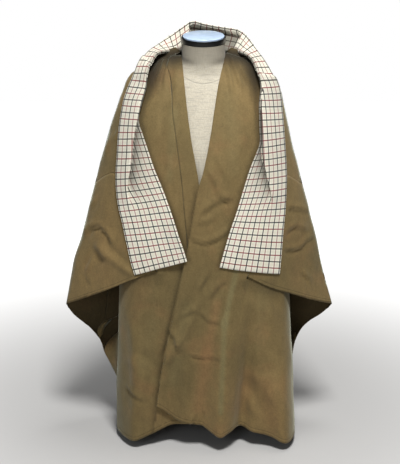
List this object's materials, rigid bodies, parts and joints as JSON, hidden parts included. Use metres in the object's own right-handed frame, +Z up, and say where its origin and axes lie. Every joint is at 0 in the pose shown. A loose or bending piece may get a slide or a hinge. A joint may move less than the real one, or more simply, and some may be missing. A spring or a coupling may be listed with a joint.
{
  "type": "blanket coat on a dress form",
  "caption": "Long blanket coat with wide dropped sleeves, a lapped open front and a folded stole round the neck, worn by a limbless dress form.",
  "frame": {"origin": "underside of the form's foot, on the centre line, 10 mm behind the front edge of its cross bar", "axes": "+Z up; -Y towards the front of the coat; +X towards the wearer's left, which is the viewer's right"},
  "size_m": [0.707, 0.3085, 1.0822],
  "materials": {
    "coat_cotton": "plain matt cotton, olive khaki",
    "stole_wool": "soft matt wool, cream with a tattersall check",
    "form_linen": "matt linen cover",
    "form_ring": "black satin",
    "form_cap": "pale blue gloss",
    "form_stand": "dark satin paint"
  },
  "bodies": {
    "root": {"back": "coat_cotton", "front_right": "coat_cotton", "front_left": "coat_cotton", "front_band": "coat_cotton", "sleeve_right": "coat_cotton", "sleeve_left": "coat_cotton", "stole_right": "stole_wool", "stole_neck": "stole_wool", "stole_left": "stole_wool", "form_torso": "form_linen", "form_ring": "form_ring", "form_cap": "form_cap", "form_pole": "form_stand", "form_base": "form_stand"}
  },
  "joints": []
}
